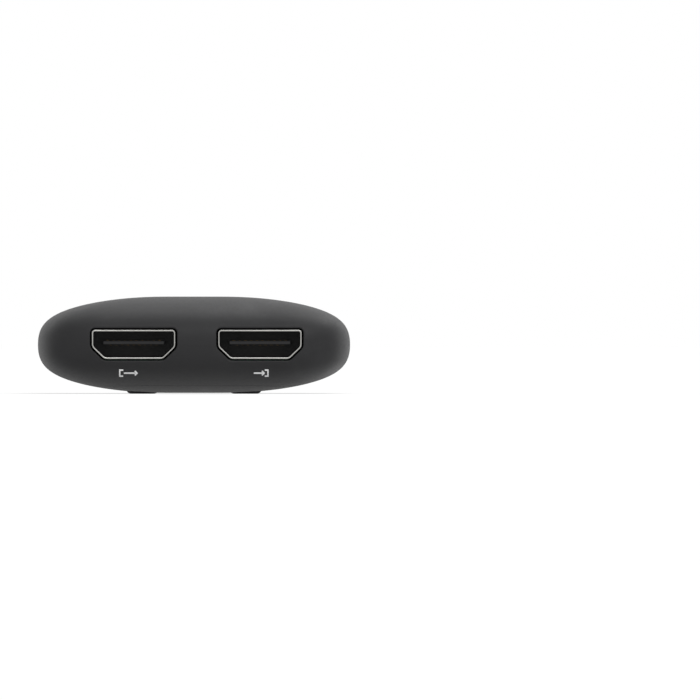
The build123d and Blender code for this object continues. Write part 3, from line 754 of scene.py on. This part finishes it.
@dataclass
class Markings:
    """The four pictograms beside the sockets.

    Attributes:
        stroke_mm: The width of the lines.
        bold_mm: The width of the heavier lines at the rear.
        barb_mm: The reach of an arrow's barbs.
        bracket_mm: Half the height of a bracket.
        grip_mm: The width of the plug's grip.
        contact_mm: The width of its contacts.
        tip_mm: The width of its tip.
        front_mm: The height of the front marks' centres above the casing's middle.
        rear_mm: The height of the rear marks' centres above it.
    """

    stroke_mm: float = 0.25
    bold_mm: float = 0.3
    barb_mm: float = 0.38
    bracket_mm: float = 0.52
    grip_mm: float = 1.1
    contact_mm: float = 0.62
    tip_mm: float = 0.42
    front_mm: float = -4.93
    rear_mm: float = -6.35

    def arrow(self, start: float, end: float) -> list[Stroke]:
        """Draws an arrow along X.

        Args:
            start: Where it starts, in mm.
            end: Where its tip is.

        Returns:
            Its shaft and its barbs.
        """
        barb = self.barb_mm
        return [
            (((start, 0.0), (end - self.stroke_mm, 0.0)), self.stroke_mm),
            (((end - barb, barb), (end, 0.0), (end - barb, -barb)), self.stroke_mm),
        ]

    def bracket(self, x: float, depth: float) -> list[Stroke]:
        """A square bracket whose back is at x and whose arms reach by depth, in mm."""
        half = self.bracket_mm
        return [(((x + depth, half), (x, half), (x, -half), (x + depth, -half)), self.stroke_mm)]

    def computer(self) -> list[Stroke]:
        """Draws a small computer.

        Returns:
            Its screen and the line of its base.
        """
        return [
            (((0.0, -0.2), (-0.85, -0.2), (-0.85, 0.6), (0.85, 0.6), (0.85, -0.2), (0.0, -0.2)), self.bold_mm),
            (((-1.4, -0.62), (1.4, -0.62)), self.bold_mm),
        ]

    def plug(self) -> list[Stroke]:
        """Draws an audio plug seen from the side, with an arrow into a bracket behind it.

        Returns:
            The plug's cable, grip, contacts and tip, then the arrow and the bracket.
        """
        return [
            (((-4.0, 0.0), (-3.3, 0.0)), self.bold_mm),
            (((-3.3, 0.0), (-1.9, 0.0)), self.grip_mm),
            (((-1.7, 0.0), (-1.1, 0.0)), self.contact_mm),
            (((-0.9, 0.0), (-0.4, 0.0)), self.contact_mm),
            (((-0.2, 0.0), (0.25, 0.0)), self.tip_mm),
            *self.arrow(1.0, 3.0),
            *self.bracket(4.0, -0.6),
        ]

    def build(self, skin: BVHTree, middle_z: float) -> list[bpy.types.Object]:
        """Prints all four marks.

        Args:
            skin: The casing's surface.
            middle_z: The height of the casing's middle.

        Returns:
            The four pieces.
        """
        out = self.bracket(-1.5, 0.6) + self.arrow(-0.8, 1.5)
        into = self.arrow(-1.3, 0.5) + self.bracket(1.15, -0.55)
        marks = (
            PrintedMark("video_out_mark", End.FRONT, -11.4, self.front_mm, out),
            PrintedMark("video_in_mark", End.FRONT, 11.7, self.front_mm, into),
            PrintedMark("computer_mark", End.REAR, -10.7, self.rear_mm, self.computer()),
            PrintedMark("line_mark", End.REAR, 12.6, self.rear_mm, self.plug(), tilt=2.0),
        )
        return [mark.build(skin, middle_z) for mark in marks]


@dataclass(frozen=True)
class SoftBox:
    """A wide, even light from one direction, as a large soft box far away gives.

    Attributes:
        name: The lamp's name.
        azimuth: Where it stands, in degrees from -Y towards +X.
        elevation: Its height above the horizon, in degrees.
        spread: How wide it looks from the casing, in degrees.
        strength: Its strength in watts per square metre.
    """

    name: str
    azimuth: float
    elevation: float
    spread: float
    strength: float

    def build(self) -> bpy.types.Object:
        """Makes the lamp.

        Returns:
            The lamp.
        """
        light = bpy.data.lights.new(self.name, "SUN")
        light.energy = self.strength
        light.angle = math.radians(self.spread)
        lamp = bpy.data.objects.new(self.name, light)
        turn, rise = math.radians(self.azimuth), math.radians(self.elevation)
        towards = Vector((math.sin(turn) * math.cos(rise), -math.cos(turn) * math.cos(rise), math.sin(rise)))
        lamp.rotation_euler = towards.to_track_quat("Z", "Y").to_euler()
        bpy.context.scene.collection.objects.link(lamp)
        return lamp


# A wide box overhead, a little to the right, and one towards each end
LAMPS = (
    SoftBox("overhead_box", 78.0, 62.0, 56.0, 0.68),
    SoftBox("front_fill", 14.0, 45.0, 36.0, 1.15),
    SoftBox("rear_fill", 154.0, 52.0, 36.0, 0.62),
)


@dataclass
class Studio:
    """The pale floor, the white surround, the lamps and the camera.

    Attributes:
        middle: The middle of the casing.
        picture_px: The side of the square picture.
        box_px: Where the casing's middle lies in the photograph, from the left and from the top.
        px_per_mm: The photograph's scale.
        distance: How far the camera stands from the casing's middle.
        sensor_mm: The width of the camera's sensor.
        floor_reach: Half the floor's side.
        fill: The strength of the surround's light, next to the white that the eye sees.
        floor_glow: How much of the floor's white, to the eye, doesn't take the shadow.
    """

    middle: Vector
    picture_px: float = 700.0
    box_px: Point = (194.0, 344.7)
    px_per_mm: float = 5.70
    distance: float = 5.0
    sensor_mm: float = 36.0
    floor_reach: float = 60.0
    fill: float = 0.35
    floor_glow: float = 0.68

    def seen_by_eye(self, tree: bpy.types.NodeTree) -> bpy.types.NodeSocket:
        """Tells the rays that show the background from those that only light the casing.

        Args:
            tree: The node tree that asks.

        Returns:
            1 for camera, glossy and transmission rays, and 0 for the rest.
        """
        path = add_node(tree, "ShaderNodeLightPath", {}, {})
        seen = path.outputs["Is Camera Ray"]
        for kind in ("Is Glossy Ray", "Is Transmission Ray"):
            either = add_node(tree, "ShaderNodeMath", {"operation": "MAXIMUM"}, {0: seen, 1: path.outputs[kind]})
            seen = either.outputs[0]
        return seen

    def surround(self) -> None:
        """A white surround for the eye and for reflections, and a softer one for the light it gives."""
        world = bpy.data.worlds.new("studio_surround")
        world.use_nodes = True
        tree = world.node_tree
        tree.nodes.clear()
        strength = add_node(tree, "ShaderNodeMapRange", {}, {
            "Value": self.seen_by_eye(tree), "To Min": self.fill, "To Max": 1.0}).outputs["Result"]
        sky = add_node(tree, "ShaderNodeBackground", {}, {"Color": linear("#ffffff"), "Strength": strength})
        add_node(tree, "ShaderNodeOutputWorld", {}, {"Surface": sky.outputs["Background"]})
        bpy.context.scene.world = world

    def floor(self) -> None:
        """A large pale floor at the feet: white to the eye but for the shadow on it, and clear from below."""
        mesh = bmesh.new()
        bmesh.ops.create_grid(mesh, x_segments=1, y_segments=1, size=self.floor_reach)
        data = bpy.data.meshes.new("studio_floor")
        mesh.to_mesh(data)
        mesh.free()
        material = bpy.data.materials.new("matt_white_sweep")
        material.use_nodes = True
        tree = material.node_tree
        tree.nodes.clear()
        plain = add_node(tree, "ShaderNodeBsdfDiffuse", {}, {"Color": linear("#ffffff")})
        soft = add_node(tree, "ShaderNodeBsdfDiffuse", {}, {"Color": linear("#a0a0a0")})
        glow = add_node(tree, "ShaderNodeEmission", {}, {
            "Color": linear("#ffffff"), "Strength": self.floor_glow})
        pale = add_node(tree, "ShaderNodeAddShader", {}, {0: soft.outputs["BSDF"], 1: glow.outputs["Emission"]})
        both = add_node(tree, "ShaderNodeMixShader", {}, {
            "Fac": self.seen_by_eye(tree), 1: plain.outputs["BSDF"], 2: pale.outputs["Shader"]})
        clear = add_node(tree, "ShaderNodeBsdfTransparent", {}, {})
        side = add_node(tree, "ShaderNodeNewGeometry", {}, {})
        open_below = add_node(tree, "ShaderNodeMixShader", {}, {
            "Fac": side.outputs["Backfacing"], 1: both.outputs["Shader"], 2: clear.outputs["BSDF"]})
        add_node(tree, "ShaderNodeOutputMaterial", {}, {"Surface": open_below.outputs["Shader"]})
        data.materials.append(material)
        plane = bpy.data.objects.new("studio_floor", data)
        bpy.context.scene.collection.objects.link(plane)

    def camera(self) -> None:
        """A long lens, level with the casing and in front of it, turned to frame it as the photograph does."""
        data = bpy.data.cameras.new("photograph_view")
        data.sensor_width = self.sensor_mm
        data.lens = self.sensor_mm * self.distance / (self.picture_px / self.px_per_mm * MM)
        data.clip_end = 2 * self.floor_reach
        camera = bpy.data.objects.new("photograph_view", data)
        half = self.picture_px / 2
        right = (half - self.box_px[0]) / self.px_per_mm * MM
        below = (half - self.box_px[1]) / self.px_per_mm * MM
        camera.location = self.middle + Vector((0.0, -self.distance, 0.0))
        camera.rotation_euler = Vector((right, self.distance, -below)).to_track_quat("-Z", "Y").to_euler()
        bpy.context.scene.collection.objects.link(camera)
        bpy.context.scene.camera = camera

    def build(self) -> None:
        """Sets the whole studio up."""
        bpy.context.scene.view_settings.view_transform = "Standard"
        self.surround()
        self.floor()
        for lamp in LAMPS:
            lamp.build()
        self.camera()


def main() -> None:
    """Dresses every sub-assembly, prints the marks and sets up the studio."""
    logging.basicConfig(level=logging.INFO, format="%(name)s: %(message)s")
    low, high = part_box("top_cover")
    middle = Vector(((low.x + high.x) / 2, (low.y + high.y) / 2, high.z - CASING_HEIGHT_MM / 2 * MM))
    casing = Casing()
    # The computer socket's insulator block is black, a dark piece that stands in as painted shade at the back of
    # its cavity; only its tongue is blue
    sockets = (Socket("video_out"), Socket("video_in"), Socket("computer_port", "computer_port_tongue"))
    for assembly in (casing, *sockets, LineJack(), Electronics()):
        assembly.dress()
    Markings().build(casing.skin(), middle.z)
    Studio(middle).build()


if __name__ == "__main__":
    main()
